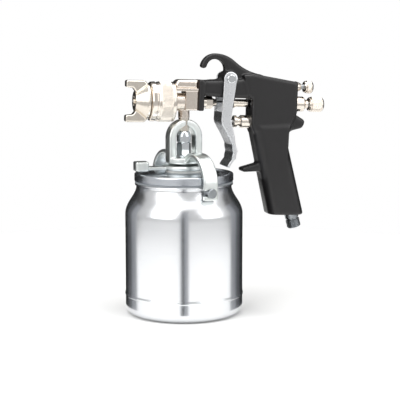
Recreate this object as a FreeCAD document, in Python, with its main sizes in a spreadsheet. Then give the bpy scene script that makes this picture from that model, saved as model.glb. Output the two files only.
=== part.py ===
"""Suction feed spray gun with a one litre cup hung under the nozzle head.

Row frame: millimetres, +Z up, origin at the middle of the cup's base.  The gun sprays towards
-X and its grip is at +X.  Every gun part is drawn about the needle axis, with x rearwards, and
then pitched nose-up as one assembly; the cup, lid and clamp stand upright about the Z axis.
"""
import FreeCAD, Part
import math
import os

import Sketcher
from FreeCAD import Placement, Rotation, Vector

doc = FreeCAD.newDocument("SprayGun")
sheet = doc.addObject("Spreadsheet::Sheet", "Sizes")
X_AXIS, Y_AXIS, Z_AXIS = Vector(1, 0, 0), Vector(0, 1, 0), Vector(0, 0, 1)


class Size:
    """A number that also carries the spreadsheet formula it came from."""

    def __init__(self, value, formula):
        self.value = value
        self.formula = formula

    def joined(self, other, sign, result):
        text = other.formula if isinstance(other, Size) else repr(other)
        return Size(result, "(" + self.formula + " " + sign + " " + text + ")")

    def __add__(self, other):
        return self.joined(other, "+", self.value + plain(other))

    def __sub__(self, other):
        return self.joined(other, "-", self.value - plain(other))

    def __mul__(self, other):
        return self.joined(other, "*", self.value * plain(other))

    def __truediv__(self, other):
        return self.joined(other, "/", self.value / plain(other))

    def __neg__(self):
        return Size(-self.value, "(0 - " + self.formula + ")")


def plain(number):
    """The bare number of a Size or of a number."""
    return number.value if isinstance(number, Size) else float(number)


sheet_row = [0]


def size(alias, value, note):
    """Writes one driving dimension into the sheet and returns it as a Size."""
    sheet_row[0] += 1
    row = str(sheet_row[0])
    sheet.set("A" + row, note)
    sheet.set("B" + row, repr(float(value)))
    sheet.setAlias("B" + row, alias)
    return Size(float(value), "Sizes." + alias)


def bind(item, prop, number):
    """Gives a property its number, and its sheet formula where it has one."""
    if isinstance(number, Size):
        item.setExpression(prop, number.formula)
    elif "." in prop:
        item.setExpression(prop, repr(float(number)))
    else:
        setattr(item, prop, number)


# ---- driving dimensions -------------------------------------------------------------------
gun_pitch = size("gun_pitch", 1.9, "nose-up pitch of the needle axis, degrees")
gun_shift = size("gun_shift", -1.0, "needle frame's origin ahead of the cup's axis")
needle_height = size("needle_height", 194.9, "needle axis above the cup's base, at the cup's axis")

cup_radius = size("cup_radius", 54.0, "outside radius of the cup")
cup_wall = size("cup_wall", 1.5, "wall of the drawn aluminium cup")
cup_bend = size("cup_bend", 9.0, "outside radius of the bend at the base")
bead_height = size("bead_height", 19.0, "middle of the rolled bead above the base")
shoulder_start = size("shoulder_start", 92.0, "where the straight wall ends")
neck_start = size("neck_start", 113.0, "where the neck begins")
neck_radius = size("neck_radius", 43.7, "outside radius of the neck")
cup_top = size("cup_top", 121.6, "top of the cup's lip")
gasket_height = size("gasket_height", 1.4, "squeezed height of the lid's gasket")
lid_radius = size("lid_radius", 45.4, "outside radius of the lid")
lid_band = size("lid_band", 7.5, "height of the lid's rim")
stud_angle = size("stud_angle", 13.8, "clamp's turn about Z from the Y axis, degrees")
stud_height = size("stud_height", 116.8, "clamp studs above the base")
tube_radius = size("tube_radius", 3.2, "outside radius of the suction tube")

arm_radius = size("arm_radius", 50.0, "middle of the clamp arm's upright run from the cup's axis")
arm_bend = size("arm_bend", 24.0, "bend of the clamp arm over the lid's edge")
arm_top = size("arm_top", 148.0, "middle of the clamp arm's level run above the base")
arm_foot = size("arm_foot", 110.2, "lower end of the clamp arm's hook")
arm_width = size("arm_width", 14.0, "width of the clamp arm")
arm_thick = size("arm_thick", 4.0, "thickness of the clamp arm")
arch_half = size("arch_half", 16.8, "half the outside width of the clamp's arch")
arch_band = size("arch_band", 6.8, "width of the arch's band")
arch_top = size("arch_top", 179.4, "top of the arch above the base")
arch_depth = size("arch_depth", 11.0, "depth of the arch along the arms")

body_half = size("body_half", 12.0, "half the thickness of the gun's main block")
barrel_half = size("barrel_half", 10.0, "half the width of the upper barrel")
grip_half = size("grip_half", 13.0, "half the width of the grip")
hook_half = size("hook_half", 4.6, "half the thickness of the hanging hook")
trigger_inner = size("trigger_inner", 11.7, "inner face of a trigger leg from the middle plane")
trigger_sheet = size("trigger_sheet", 2.0, "thickness of the trigger's metal")
pivot_x = size("pivot_x", 41.3, "trigger pivot along the needle axis")
pivot_up = size("pivot_up", 22.4, "trigger pivot above the needle axis")
pivot_radius = size("pivot_radius", 2.0, "radius of the trigger pin")
valve_drop = size("valve_drop", 17.0, "air valve axis below the needle axis")
spreader_rise = size("spreader_rise", 16.0, "pattern valve axis above the needle axis")
needle_radius = size("needle_radius", 1.5, "radius of the fluid needle")
grip_lean = size("grip_lean", 16.3, "lean of the grip from square to the needle axis, degrees")
inlet_radius = size("inlet_radius", 6.58, "outside radius of the G1/4 inlet thread")
fit_gap = size("fit_gap", 0.05, "radial clearance of a running fit")

doc.recompute()
GUN = Placement(Vector(plain(gun_shift), 0, plain(needle_height)), Rotation(Y_AXIS, plain(gun_pitch)))
CLAMP = Placement(Vector(0, 0, 0), Rotation(Z_AXIS, plain(stud_angle)))
UPRIGHT = Placement()
nodes = []


def deliver(item, node, place=UPRIGHT):
    """Names a finished sub-part, puts it in the row frame and lists it for export."""
    item.Label = node
    item.Placement = place
    nodes.append(item)
    return item


def along(x=0, y=0, z=0, spin_axis=Z_AXIS, spin=0):
    """A place given by a shift and a turn."""
    return Placement(Vector(plain(x), plain(y), plain(z)), Rotation(spin_axis, spin))


# ---- drawing helpers ----------------------------------------------------------------------
def arc_between(start, end, radius):
    """Minor arc from start to end; a positive radius has its centre left of the way."""
    chord = end - start
    left = Vector(-chord.y, chord.x, 0).normalize()
    if radius < 0:
        left = left * -1
    rise = math.sqrt(max(radius * radius - chord.Length ** 2 / 4, 0))
    bulge = (start + end) * 0.5 + left * (rise - abs(radius))
    if radius > 0:
        return Part.Arc(start, bulge, end)
    return Part.Arc(end, bulge, start)


def draw(body, role, outline):
    """A closed, fully bound sketch; each corner is (across, up) or (across, up, arc radius)."""
    plane = [f for f in body.Origin.OriginFeatures if f.Role == role][0]
    sketch = body.newObject("Sketcher::SketchObject", body.Name + "_sketch")
    sketch.AttachmentSupport = [(plane, "")]
    sketch.MapMode = "FlatFace"
    count = len(outline)
    corners = [Vector(plain(c[0]), plain(c[1]), 0) for c in outline]
    ends = []
    for i in range(count):
        start, end = corners[i - 1], corners[i]
        if len(outline[i]) == 3:
            radius = outline[i][2]
            arc = arc_between(start, end, plain(radius))
            line = sketch.addGeometry(arc, False)
            arc_limit = Size(abs(plain(radius)), "abs(" + radius.formula + ")") \
                if isinstance(radius, Size) else abs(radius)
            hold(sketch, Sketcher.Constraint("Radius", line, plain(arc_limit)), arc_limit)
            ends.append((line, 1, 2) if plain(radius) > 0 else (line, 2, 1))
        else:
            line = sketch.addGeometry(Part.LineSegment(start, end), False)
            ends.append((line, 1, 2))
    for i in range(count):
        line, _, tail = ends[i]
        following, head, _ = ends[(i + 1) % count]
        sketch.addConstraint(Sketcher.Constraint("Coincident", line, tail, following, head))
        across, up = outline[i][0], outline[i][1]
        if plain(across) == 0:
            sketch.addConstraint(Sketcher.Constraint("PointOnObject", line, tail, -2))
        else:
            hold(sketch, Sketcher.Constraint("DistanceX", -1, 1, line, tail, plain(across)), across)
        if plain(up) == 0:
            sketch.addConstraint(Sketcher.Constraint("PointOnObject", line, tail, -1))
        else:
            hold(sketch, Sketcher.Constraint("DistanceY", -1, 1, line, tail, plain(up)), up)
    return sketch


def hold(sketch, constraint, number):
    """Adds a dimension and binds it to the sheet where it has a formula."""
    index = sketch.addConstraint(constraint)
    if isinstance(number, Size):
        sketch.setExpression("Constraints[" + str(index) + "]", number.formula)


def turned(name, outline, axis="H_Axis"):
    """A lathe-turned solid: (along, radius) about X, or (radius, along) about Z."""
    body = doc.addObject("PartDesign::Body", name)
    sketch = draw(body, "XZ_Plane", outline)
    spin = body.newObject("PartDesign::Revolution", name + "_turn")
    spin.Profile = sketch
    spin.ReferenceAxis = (sketch, [axis])
    spin.Angle = 360
    doc.recompute()
    return body


def stood(name, outline):
    """A lathe-turned solid about the upright axis."""
    return turned(name, outline, "V_Axis")


def sleeve(start, end, inner, outer):
    """Outline of a plain tube about X."""
    return [(start, inner), (end, inner), (end, outer), (start, outer)]


def plug(start, end, radius):
    """Outline of a plain round bar about X."""
    return [(start, 0), (end, 0), (end, radius), (start, radius)]


def plate(name, outline, thickness, corners=(), rim=None, role="XZ_Plane", shortest=0):
    """A flat slab centred on its plane, with rounded corners and then rounded rims.

    corners is a list of (across, up, radius); rim is the radius along the edges of both flat
    faces, where they are longer than the shortest."""
    body = doc.addObject("PartDesign::Body", name)
    sketch = draw(body, role, outline)
    pad = body.newObject("PartDesign::Pad", name + "_pad")
    pad.Profile = sketch
    pad.Midplane = True
    bind(pad, "Length", thickness)
    doc.recompute()
    last = pad
    normal = Y_AXIS if role == "XZ_Plane" else Z_AXIS
    for across, up, radius in corners:
        spot = Vector(plain(across), 0, plain(up)) if role == "XZ_Plane" \
            else Vector(plain(across), plain(up), 0)
        last = rounded(body, last, radius, lambda edge: stands_at(edge, spot, normal))
    if rim is not None:
        last = rounded(body, last, rim, lambda edge: is_rim(edge, normal, plain(thickness) / 2)
                       and edge.Length > shortest)
    return body


def stands_at(edge, spot, normal):
    """True for a straight edge along the normal that passes through the spot."""
    if edge.Curve.TypeId != "Part::GeomLine":
        return False
    flat = edge.CenterOfMass - normal * edge.CenterOfMass.dot(normal)
    return abs(edge.Curve.Direction.dot(normal)) > 0.999 and (flat - spot).Length < 0.05


def is_rim(edge, normal, level):
    """True for an edge that lies in one of the slab's two flat faces."""
    return all(abs(abs(v.Point.dot(normal)) - level) < 1e-4 for v in edge.Vertexes) and \
        abs(abs(edge.CenterOfMass.dot(normal)) - level) < 1e-4


def rounded(body, feature, radius, chosen):
    """Rounds the chosen edges of a body's last feature."""
    names = ["Edge" + str(i + 1) for i, edge in enumerate(feature.Shape.Edges) if chosen(edge)]
    if not names:
        raise ValueError("no edge to round on " + body.Name)
    fillet = body.newObject("PartDesign::Fillet", feature.Name + "_round")
    fillet.Base = (feature, names)
    bind(fillet, "Radius", radius)
    doc.recompute()
    if "Invalid" in fillet.State:
        raise ValueError("the round does not fit on " + body.Name)
    return fillet


def bar(name, radius, length, place):
    """A round bar that runs along the place's own Z axis."""
    item = doc.addObject("Part::Cylinder", name)
    bind(item, "Radius", radius)
    bind(item, "Height", length)
    item.Placement = place
    return item


def block(name, length, width, height, corner):
    """A box from its low corner."""
    item = doc.addObject("Part::Box", name)
    bind(item, "Length", length)
    bind(item, "Width", width)
    bind(item, "Height", height)
    item.Placement = along(*corner)
    return item


def hexagon(name, across_flats, start, end, place=UPRIGHT):
    """A hexagonal bar along Z, by the width across its flats."""
    item = doc.addObject("Part::Prism", name)
    item.Polygon = 6
    bind(item, "Circumradius", across_flats / math.sqrt(3))
    bind(item, "Height", end - start)
    item.Placement = place.multiply(along(z=start))
    return item


def joined(name, parts):
    """One solid from several that touch or overlap."""
    item = doc.addObject("Part::MultiFuse", name)
    item.Shapes = parts
    item.Refine = True
    doc.recompute()
    return item


def cut(name, base, tools):
    """The base less every tool."""
    for i, tool in enumerate(tools):
        item = doc.addObject("Part::Cut", name if i == len(tools) - 1 else name + "_" + str(i))
        item.Base = base
        item.Tool = tool
        doc.recompute()
        base = item
    base.Refine = True
    return base


def shared(name, first, second):
    """The space that two solids share."""
    item = doc.addObject("Part::Common", name)
    item.Base = first
    item.Tool = second
    doc.recompute()
    return item


def group(name, parts):
    """Like pieces kept as separate solids in one node."""
    item = doc.addObject("Part::Compound", name)
    item.Links = parts
    doc.recompute()
    return item


def coil(name, coil_radius, wire_radius, start, end, turns, place):
    """A compression spring wound about the place's own Z axis."""
    body = doc.addObject("PartDesign::Body", name)
    plane = [f for f in body.Origin.OriginFeatures if f.Role == "XZ_Plane"][0]
    sketch = body.newObject("Sketcher::SketchObject", name + "_wire")
    sketch.AttachmentSupport = [(plane, "")]
    sketch.MapMode = "FlatFace"
    middle = Vector(plain(coil_radius), plain(start) + plain(wire_radius), 0)
    circle = sketch.addGeometry(Part.Circle(middle, Z_AXIS, plain(wire_radius)), False)
    hold(sketch, Sketcher.Constraint("Radius", circle, plain(wire_radius)), wire_radius)
    hold(sketch, Sketcher.Constraint("DistanceX", -1, 1, circle, 3, middle.x), coil_radius)
    hold(sketch, Sketcher.Constraint("DistanceY", -1, 1, circle, 3, middle.y), middle.y)
    doc.recompute()
    helix = body.newObject("PartDesign::AdditiveHelix", name + "_coil")
    helix.Profile = sketch
    helix.ReferenceAxis = (sketch, ["V_Axis"])
    helix.Mode = 0
    rise = plain(end) - plain(start) - 2 * plain(wire_radius)
    helix.Pitch = rise / turns
    helix.Height = rise
    doc.recompute()
    return deliver(body, name, place)


REARWARD = Rotation(Y_AXIS, 90)      # turns a part's own Z axis to point rearwards


def gun_line(z=0):
    """Place of a part whose own Z axis runs rearwards along the gun, z above the needle."""
    return GUN.multiply(Placement(Vector(0, 0, plain(z)), REARWARD))


def rear_bar(name, radius, start, end, y=0, z=0):
    """A round cutter along the gun."""
    place = Placement(Vector(plain(start), plain(y), plain(z)), REARWARD)
    return bar(name, radius, plain(end) - plain(start), place)


# ---- gun body: cast aluminium, barrel, block, grip, guard, spur and hanging hook --------------
plate_front, plate_back = 12.8, 18.0
block_front, block_back = 63.0, 107.0
flange = plate("body_flange",
               [(plate_front, -7.5), (plate_back, -7.5), (plate_back, 20.5), (plate_front, 20.5)],
               barrel_half * 2, rim=0.8)
barrel = plate("body_barrel",
               [(17.0, 6.3), (40.0, 4.6), (66.0, 4.6), (66.0, 24.0), (46.0, 21.2), (17.0, 20.3)],
               barrel_half * 2, rim=3.6)
main_block = plate("body_block",
                   [(block_front, -19.0), (66.0, -27.0), (100.0, -27.0), (block_back, -7.7),
                    (block_back, 20.6), (63.5, 27.4), (block_front - 9.0, 26.0),
                    (block_front - 3.0, 4.6), (block_front, 4.6)],
                   body_half * 2, corners=[(block_back, 20.6, 1.6), (block_back, -7.7, 1.6)],
                   rim=2.6)
grip = plate("body_grip", [(62.8, -16.0), (84.0, -103.0), (118.4, -103.0), (99.3, -33.8),
                           (99.8, -14.0)], grip_half * 2, rim=8.2, shortest=36.0)
rounded(grip, grip.Tip, 1.8, lambda edge: edge.BoundBox.ZMax < -102.9)
spur = plate("body_spur",
             [(92.0, -8.0), (105.6, -8.6), (117.2, -15.2), (114.0, -22.0), (104.6, -24.4),
              (99.8, -29.0, 9.0), (92.0, -34.0)],
             15.0, corners=[(117.2, -15.2, 3.4), (114.0, -22.0, 3.0)], rim=2.6)
guard = plate("body_guard",
              [(84.0, -52.0), (56.9, -59.8), (57.2, -63.4), (84.0, -62.2)],
              15.0, corners=[(56.9, -59.8, 1.4), (57.2, -63.4, 1.8)], rim=1.4)
eye_x, eye_z, eye_radius, lip_radius = 28.6, 30.4, 9.2, 7.7
crook_radius, back_radius, root_radius, tip_turn = 14.2, 28.0, 50.0, 170.0


def on_circle(x, z, radius, degrees):
    """The point of a circle at an angle from the x axis."""
    turn = math.radians(degrees)
    return (x + radius * math.cos(turn), z + radius * math.sin(turn))


crook_x, crook_z = eye_x + 0.8, eye_z + 0.2
crook_top = crook_z + crook_radius
tip_outer = on_circle(crook_x, crook_z, crook_radius, tip_turn)
tip_inner = on_circle(eye_x, eye_z + eye_radius - lip_radius, lip_radius, tip_turn)
back_end = on_circle(crook_x, crook_top - back_radius, back_radius, 49.5)
root_end = on_circle(back_end[0] + root_radius * math.cos(math.radians(49.5)),
                     back_end[1] + root_radius * math.sin(math.radians(49.5)), root_radius, 263.0)
hook = plate("body_hook",
             [tip_outer + (-2.9,), (crook_x, crook_top, -crook_radius), back_end + (-back_radius,),
              root_end + (root_radius,), (root_end[0], 10.0), (20.0, 10.0), (20.0, 20.2),
              (eye_x, eye_z - eye_radius, -37.5), (eye_x + eye_radius, eye_z, eye_radius),
              (eye_x, eye_z + eye_radius, eye_radius), tip_inner + (lip_radius,)],
             hook_half * 2, rim=1.8)
pivot_boss = bar("body_pivot_boss", 6.6, trigger_inner * 2 - 0.6,
                 along(pivot_x, trigger_inner - 0.3, pivot_up, X_AXIS, 90))
body_lumps = joined("body_lumps", [barrel, flange, main_block, grip, spur, guard, hook, pivot_boss])

lean = math.radians(plain(grip_lean))
inlet_x, inlet_z = 108.4, -103.0
grip_place = Placement(Vector(inlet_x, 0, inlet_z), Rotation(Y_AXIS, 180 - plain(grip_lean)))
grip_passage = bar("grip_passage", 4.4, 90.0,
                   Placement(Vector(inlet_x, 0, inlet_z), Rotation(Y_AXIS, -plain(grip_lean))))
inlet_socket = bar("inlet_socket", inlet_radius, 12.0,
                   Placement(Vector(inlet_x, 0, inlet_z), Rotation(Y_AXIS, -plain(grip_lean))))
inlet_mouth = bar("inlet_mouth", inlet_radius, 4.0, grip_place)
valve_chamber = rear_bar("valve_chamber", 5.4, 62.0, 100.0, z=-valve_drop)
needle_chamber = rear_bar("needle_chamber", 4.2, 62.0, 95.0)
needle_thread = rear_bar("needle_thread", 5.2, 95.0, 108.0)
spreader_chamber = rear_bar("spreader_chamber", 4.0, 72.0, 108.0, z=spreader_rise)
front_passage = rear_bar("front_passage", 2.6, 12.0, 74.0, z=13.0)
lift_passage = bar("lift_passage", 2.0, 33.0, along(78.0, 6.4, -valve_drop))
packing_bore = rear_bar("packing_bore", 3.4, 14.4, 30.0)
needle_slot = rear_bar("needle_slot", 1.75, 12.0, 30.0)
pin_bore = bar("pin_bore", pivot_radius + 0.05, trigger_inner * 2 + 2,
               along(pivot_x, trigger_inner + 1, pivot_up, X_AXIS, 90))
body_cutters = [grip_passage, inlet_socket, inlet_mouth, valve_chamber, needle_chamber,
                needle_thread, spreader_chamber, front_passage, lift_passage, packing_bore,
                needle_slot, pin_bore]
deliver(cut("gun_body", body_lumps, body_cutters), "gun_body", GUN)

# ---- head: nickel plated casting that carries the nozzle, with the cup's inlet under it -------
head_front, head_back = -24.2, 12.2
head_spigot = turned("head_spigot", plug(head_front, -9.6, 15.4))
head_neck = turned("head_neck", plug(-10.0, 2.0, 8.2))
head_block = plate("head_block", [(0.4, -7.2), (head_back, -7.2), (head_back, 11.0), (0.4, 11.0)],
                   18.0, rim=1.4)
head_dome = plate("head_dome",
                  [(-9.0, 12.0), (head_back, 12.0), (head_back, 20.4), (-9.0, 20.4)],
                  17.0, corners=[(-9.0, 20.4, 5.0)], rim=3.2)
head_ledge = block("head_ledge", 20.6, 18.4, 2.4, (-8.4, -9.2, 10.2))
boss_turn = GUN.inverse()
head_boss = bar("head_boss", 5.2, 10.0, boss_turn.multiply(along(z=180.4)))
head_lumps = joined("head_lumps", [head_spigot, head_neck, head_block, head_dome, head_ledge,
                                   head_boss])
fluid_chamber = rear_bar("fluid_chamber", 3.0, -16.0, 8.0)
nozzle_thread = rear_bar("nozzle_thread", 5.0, -25.0, -14.0)
needle_guide = rear_bar("needle_guide", 1.7, 7.0, 14.0)
head_air = rear_bar("head_air", 2.6, 2.0, 14.0, z=13.0)
head_air_drop = bar("head_air_drop", 1.6, 7.0, along(5.0, 0, 6.4))
head_air_front = rear_bar("head_air_front", 1.1, -25.0, 5.0, z=6.7)
inlet_bore = bar("inlet_bore", 3.4, 5.0, boss_turn.multiply(along(z=178.6)))
inlet_drill = bar("inlet_drill", 2.0, 14.0, boss_turn.multiply(along(z=181.0)))
deliver(cut("head", head_lumps, [fluid_chamber, nozzle_thread, needle_guide, head_air,
                                 head_air_drop, head_air_front, inlet_bore, inlet_drill]),
        "head", GUN)

gasket_slab = plate("gasket_slab", [(head_back, -7.0), (plate_front, -7.0), (plate_front, 20.0),
                                    (head_back, 20.0)], 17.6)
deliver(cut("head_gasket", gasket_slab, [rear_bar("gasket_air", 2.6, 12.0, 14.0, z=13.0),
                                         rear_bar("gasket_needle", 1.8, 12.0, 14.0)]),
        "head_gasket", GUN)

# ---- spray head: nozzle, baffle, cap, washer and retaining ring -------------------------------
deliver(turned("fluid_nozzle",
               [(-46.2, 1.0), (-43.6, 1.0), (-40.0, 2.4), (-14.0, 2.4), (-14.0, 5.0),
                (-24.2, 5.0), (-24.2, 8.4), (-27.4, 8.4), (-29.0, 6.2), (-36.5, 5.6),
                (-41.0, 2.2), (-46.2, 2.0)]), "fluid_nozzle", GUN)
baffle_ring = turned("baffle_ring", sleeve(-27.2, -24.2, 8.5, 14.2))
baffle_holes = [rear_bar("baffle_hole" + str(i), 1.2, -28.0, -24.0,
                         y=11.4 * math.cos(math.radians(22.5 + 45 * i)),
                         z=11.4 * math.sin(math.radians(22.5 + 45 * i))) for i in range(8)]
deliver(cut("air_baffle", baffle_ring, baffle_holes), "air_baffle", GUN)

ring_outer = 18.2
ring_blank = turned("ring_blank",
                    [(-9.0, 15.5), (-9.0, ring_outer - 1.0), (-9.8, ring_outer - 0.2),
                     (-24.4, ring_outer), (-25.2, ring_outer - 0.9), (-26.2, ring_outer - 0.9),
                     (-26.9, ring_outer - 0.2), (-30.8, ring_outer - 0.5), (-31.5, ring_outer - 1.1),
                     (-31.5, 15.2), (-30.1, 15.2), (-30.1, 16.5), (-24.3, 16.5), (-24.3, 15.5)])
flutes = [rear_bar("ring_flute" + str(i), 1.1, -24.0, -8.0,
                   y=(ring_outer + 0.6) * math.cos(math.radians(15 * i)),
                   z=(ring_outer + 0.6) * math.sin(math.radians(15 * i))) for i in range(24)]
flute_set = group("ring_flutes", flutes)
deliver(cut("retaining_ring", ring_blank, [flute_set]), "retaining_ring", GUN)
deliver(turned("ring_washer", sleeve(-30.0, -29.4, 15.3, 16.3)), "ring_washer", GUN)

cap_shell = turned("cap_shell",
                   [(-27.6, 14.4), (-27.6, 16.2), (-29.2, 16.2), (-29.2, 14.9), (-32.0, 14.9),
                    (-33.0, 16.4), (-34.6, 16.4), (-42.6, 10.6), (-45.2, 9.0), (-44.6, 5.6),
                    (-44.0, 2.6), (-41.6, 2.6), (-41.6, 7.2), (-31.0, 13.0), (-28.6, 14.4)])
horn = plate("cap_horn", [(-53.4, 12.6), (-53.4, 18.8), (-36.4, 18.8), (-32.6, 15.4),
                          (-38.0, 8.6), (-44.4, 8.6), (-46.8, 12.0)],
             9.4, corners=[(-53.4, 18.8, 1.6), (-53.4, 12.6, 1.6), (-46.8, 12.0, 2.4)], rim=1.6)
horn_below = doc.addObject("Part::Mirroring", "cap_horn_below")
horn_below.Source = horn
horn_below.Normal = Z_AXIS
cap_hollow = turned("cap_hollow",
                    [(-41.6, 0), (-27.0, 0), (-27.0, 14.4), (-28.6, 14.4), (-31.0, 13.0),
                     (-41.6, 7.2)])
jet_holes = []
for side in (1, -1):
    tilt = Rotation(Y_AXIS, 90 + side * 8)
    jet_holes.append(bar("horn_gallery" + str(side + 1), 1.5, 17.0,
                         Placement(Vector(-51.0, 0, side * 14.6), tilt)))
    slant = Rotation(Y_AXIS, 90 - side * 62)
    jet_holes.append(bar("horn_jet" + str(side + 1), 0.8, 9.0,
                         Placement(Vector(-53.5, 0, side * 8.8), slant)))
for i in range(4):
    spot = math.radians(45 + 90 * i)
    jet_holes.append(rear_bar("cap_vent" + str(i), 0.7, -46.0, -41.0,
                              y=5.2 * math.cos(spot), z=5.2 * math.sin(spot)))
cap_lumps = joined("cap_lumps", [cap_shell, horn, horn_below])
deliver(cut("air_cap", cap_lumps, [cap_hollow] + jet_holes), "air_cap", GUN)

# ---- fluid needle line: needle, packing, its nut, collar and spring ---------------------------
deliver(turned("needle", [(-46.6, 0), (95.0, 0), (95.0, needle_radius), (-39.0, needle_radius),
                          (-45.6, 0.6), (-46.6, 0.4)]), "needle", GUN)
deliver(turned("needle_packing", sleeve(14.5, 19.6, needle_radius + fit_gap, 3.35)),
        "needle_packing", GUN)
nut_hex = hexagon("packing_hex", 10.4, 21.6, 27.2, Placement(Vector(), REARWARD))
nut_turn = turned("packing_turn", [(18.4, 0), (31.2, 0), (31.2, 3.0), (27.4, 4.2), (27.2, 5.8),
                                   (21.6, 5.8), (21.4, 5.2), (18.1, 5.2), (18.1, 0)])
nut_body = shared("packing_crop", nut_turn,
                  joined("packing_shape", [nut_hex,
                                           turned("packing_shank", plug(18.0, 31.4, 5.2))]))
deliver(cut("packing_nut", nut_body, [rear_bar("packing_drill", needle_radius + fit_gap, 17.0, 33.0),
                                      rear_bar("packing_cup", 3.4, 17.0, 19.7)]),
        "packing_nut", GUN)
deliver(turned("needle_collar",
               [(46.9, needle_radius), (60.6, needle_radius), (60.6, 3.6), (49.4, 3.6),
                (49.2, 4.4), (47.3, 4.4), (46.9, 4.0)]), "needle_collar", GUN)
deliver(turned("needle_stop", sleeve(68.0, 71.0, needle_radius, 3.9)), "needle_stop", GUN)
coil("needle_spring", 3.0, 0.55, 71.3, 99.0, 9, gun_line())

# ---- fluid control: threaded bushing, screw and knurled knob ----------------------------------
bush_shell = turned("fluid_bushing_shell",
                    [(95.2, 4.2), (100.4, 4.2), (100.4, 3.05), (119.6, 3.05), (119.6, 4.0),
                     (117.4, 4.1), (115.6, 6.6), (114.8, 7.0), (107.8, 7.0), (107.0, 6.4),
                     (107.0, 5.2), (95.2, 5.2)])
deliver(bush_shell, "fluid_control_bushing", GUN)
deliver(turned("fluid_control_screw",
               [(99.4, 0), (130.0, 0), (130.0, 3.0), (100.6, 3.0), (99.4, 2.2)]),
        "fluid_control_screw", GUN)


def knurled_knob(name, start, end, radius, bore, bore_end, rise, ridges):
    """A round knob with grip grooves, crowned at its rear end, on a blind bore."""
    blank = turned(name + "_blank",
                   [(start, bore), (start, radius - 1.2), (start + 1.2, radius), (end - 1.6, radius),
                    (end - 0.4, radius - 1.0), (end, radius - 2.4), (end, 0), (bore_end, 0),
                    (bore_end, bore)])
    cutters = []
    for i in range(ridges):
        turn = math.radians(360 * i / ridges)
        reach = radius + 0.35
        cutters.append(rear_bar(name + "_groove" + str(i), 0.7, start + 2.2, end - 1.8,
                                y=reach * math.cos(turn), z=reach * math.sin(turn)))
    knob = cut(name, blank, [group(name + "_grooves", cutters)])
    return deliver(knob, name, GUN.multiply(along(z=rise)))


knurled_knob("fluid_control_knob", 120.8, 135.4, 7.0, 3.0, 130.0, 0, 20)

# ---- pattern control: bushing, stem with its seal, and knob ------------------------------------
SPREAD = GUN.multiply(along(z=spreader_rise))
deliver(turned("spreader_bushing",
               [(97.0, 2.35), (112.4, 2.35), (112.4, 3.2), (110.6, 4.1), (108.0, 5.0),
                (107.0, 5.0), (107.0, 4.0), (97.0, 4.0)]), "spreader_bushing", SPREAD)
deliver(turned("spreader_stem",
               [(73.4, 0), (121.4, 0), (121.4, 1.8), (115.6, 1.8), (115.6, 2.3), (93.4, 2.3),
                (93.4, 1.5), (91.0, 1.5), (91.0, 2.3), (79.0, 2.3), (77.0, 3.2), (73.4, 0.9)]),
        "spreader_stem", SPREAD)
deliver(turned("spreader_seal", sleeve(91.05, 93.35, 1.5, 3.9)), "spreader_seal", SPREAD)
knurled_knob("spreader_knob", 115.7, 124.6, 5.9, 1.8, 121.4, spreader_rise, 16)

# ---- air valve in front of the grip -----------------------------------------------------------
VALVE = GUN.multiply(along(z=-valve_drop))
deliver(turned("air_valve_nut",
               [(48.2, 1.65), (70.0, 1.65), (70.0, 5.3), (63.0, 5.3), (63.0, 5.9), (55.4, 5.9),
                (53.8, 4.2), (51.4, 4.2), (51.0, 5.5), (48.6, 5.5), (48.2, 5.1)]),
        "air_valve_nut", VALVE)
deliver(turned("air_valve_packing", sleeve(70.2, 73.2, 1.65, 5.3)), "air_valve_packing", VALVE)
deliver(turned("air_valve_seat", sleeve(80.0, 82.6, 2.9, 5.3)), "air_valve_seat", VALVE)
deliver(turned("air_valve_stem",
               [(38.9, 0), (88.4, 0), (88.4, 1.6), (39.7, 1.6), (38.9, 0.9)]),
        "air_valve_stem", VALVE)
deliver(turned("air_valve_disc", sleeve(82.9, 85.6, 1.6, 4.7)), "air_valve_disc", VALVE)
coil("air_valve_spring", 3.6, 0.6, 85.9, 99.6, 5, gun_line(-valve_drop))

# ---- trigger: bent plate with two legs, a finger web and a bridge that draws the needle ----------
leg_outer = trigger_inner + trigger_sheet
profile = [(34.9, 23.0), (34.4, 6.0), (33.4, -14.6), (35.0, -20.4, 10.0), (40.3, -29.4),
           (44.6, -38.0, -60.0), (45.7, -45.0, 16.0), (44.6, -51.5, 16.0), (40.6, -57.4, 22.0)]
profile_back = [(42.8, -58.6, 1.6), (48.6, -50.6, -20.0), (50.0, -43.6, -14.0),
                (46.9, -31.0, -40.0), (42.6, -14.0), (45.6, 9.0), (47.3, 23.0)]
side = plate("trigger_side", profile + profile_back, leg_outer * 2)
crown = bar("trigger_crown", 6.4, leg_outer * 2, along(pivot_x, leg_outer, pivot_up, X_AXIS, 90))
hollow = plate("trigger_hollow",
               [(30.0, 31.0), (30.0, -8.0), (35.6, -8.0), (35.7, -14.2), (37.2, -19.4, 10.0),
                (42.4, -28.4), (46.6, -37.0, -60.0), (47.9, -45.0, 16.0), (46.6, -52.3, 16.0),
                (42.0, -60.5, 22.0), (60.0, -64.0), (60.0, 31.0)], trigger_inner * 2)
channel = cut("trigger_channel", joined("trigger_blank", [side, crown]), [hollow])
bridge = block("trigger_bridge", 2.0, trigger_inner * 2 + 1.0, 7.4, (43.2, -trigger_inner - 0.5, -4.2))
needle_gap = block("trigger_needle_gap", 6.0, 4.2, 6.4, (41.0, -2.1, -2.6))
leg_bore = bar("trigger_leg_bore", pivot_radius + fit_gap, leg_outer * 2 + 2,
               along(pivot_x, leg_outer + 1, pivot_up, X_AXIS, 90))
trigger_solid = joined("trigger_solid", [channel, bridge])
deliver(cut("trigger", trigger_solid, [needle_gap, leg_bore]), "trigger", GUN)

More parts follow.
